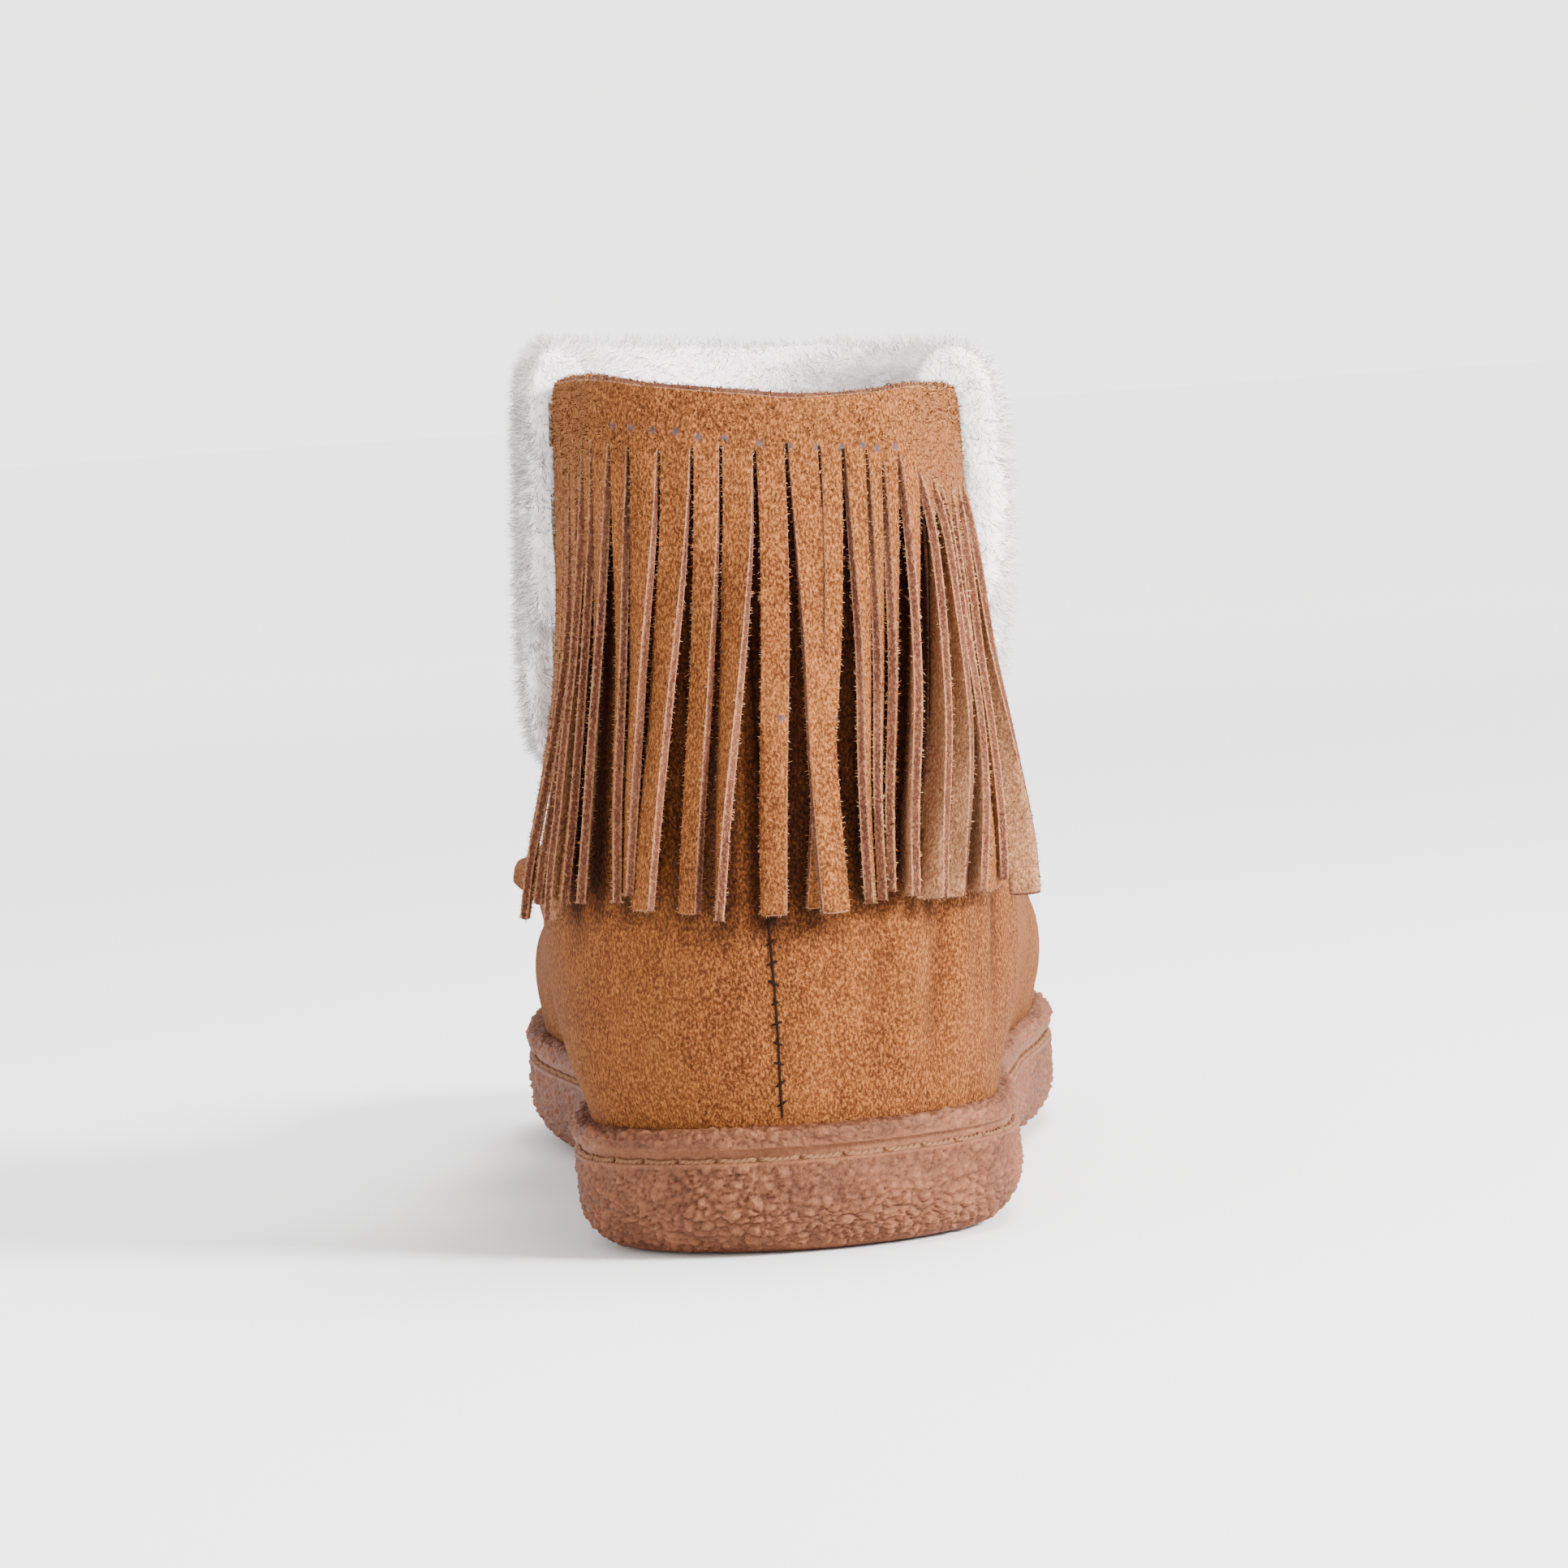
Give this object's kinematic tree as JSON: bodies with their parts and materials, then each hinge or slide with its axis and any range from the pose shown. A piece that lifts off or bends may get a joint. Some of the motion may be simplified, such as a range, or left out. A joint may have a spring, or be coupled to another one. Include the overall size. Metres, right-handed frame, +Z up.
{
  "type": "house slipper",
  "caption": "Right ankle-high suede house slipper with a fold-down fleece cuff, a fringe hanging round the heel and a rubber cup sole.",
  "frame": {"origin": "on the floor under the heel, at the middle of the heel's flat tread", "axes": "+Y to the toe, +X to the shoe's outer side, +Z up"},
  "size_m": [0.0998, 0.267, 0.1514],
  "materials": {
    "sole_rubber": "matt crepe",
    "footbed_fleece": "short pile",
    "upper_suede": "brushed nap",
    "fringe_suede": "brushed nap, cut edges",
    "white_fleece": "deep soft pile"
  },
  "bodies": {
    "root": {"outsole": "sole_rubber", "insole": "footbed_fleece", "upper": "upper_suede", "fringe_panel": "fringe_suede", "fleece_cuff": "white_fleece"}
  },
  "joints": []
}
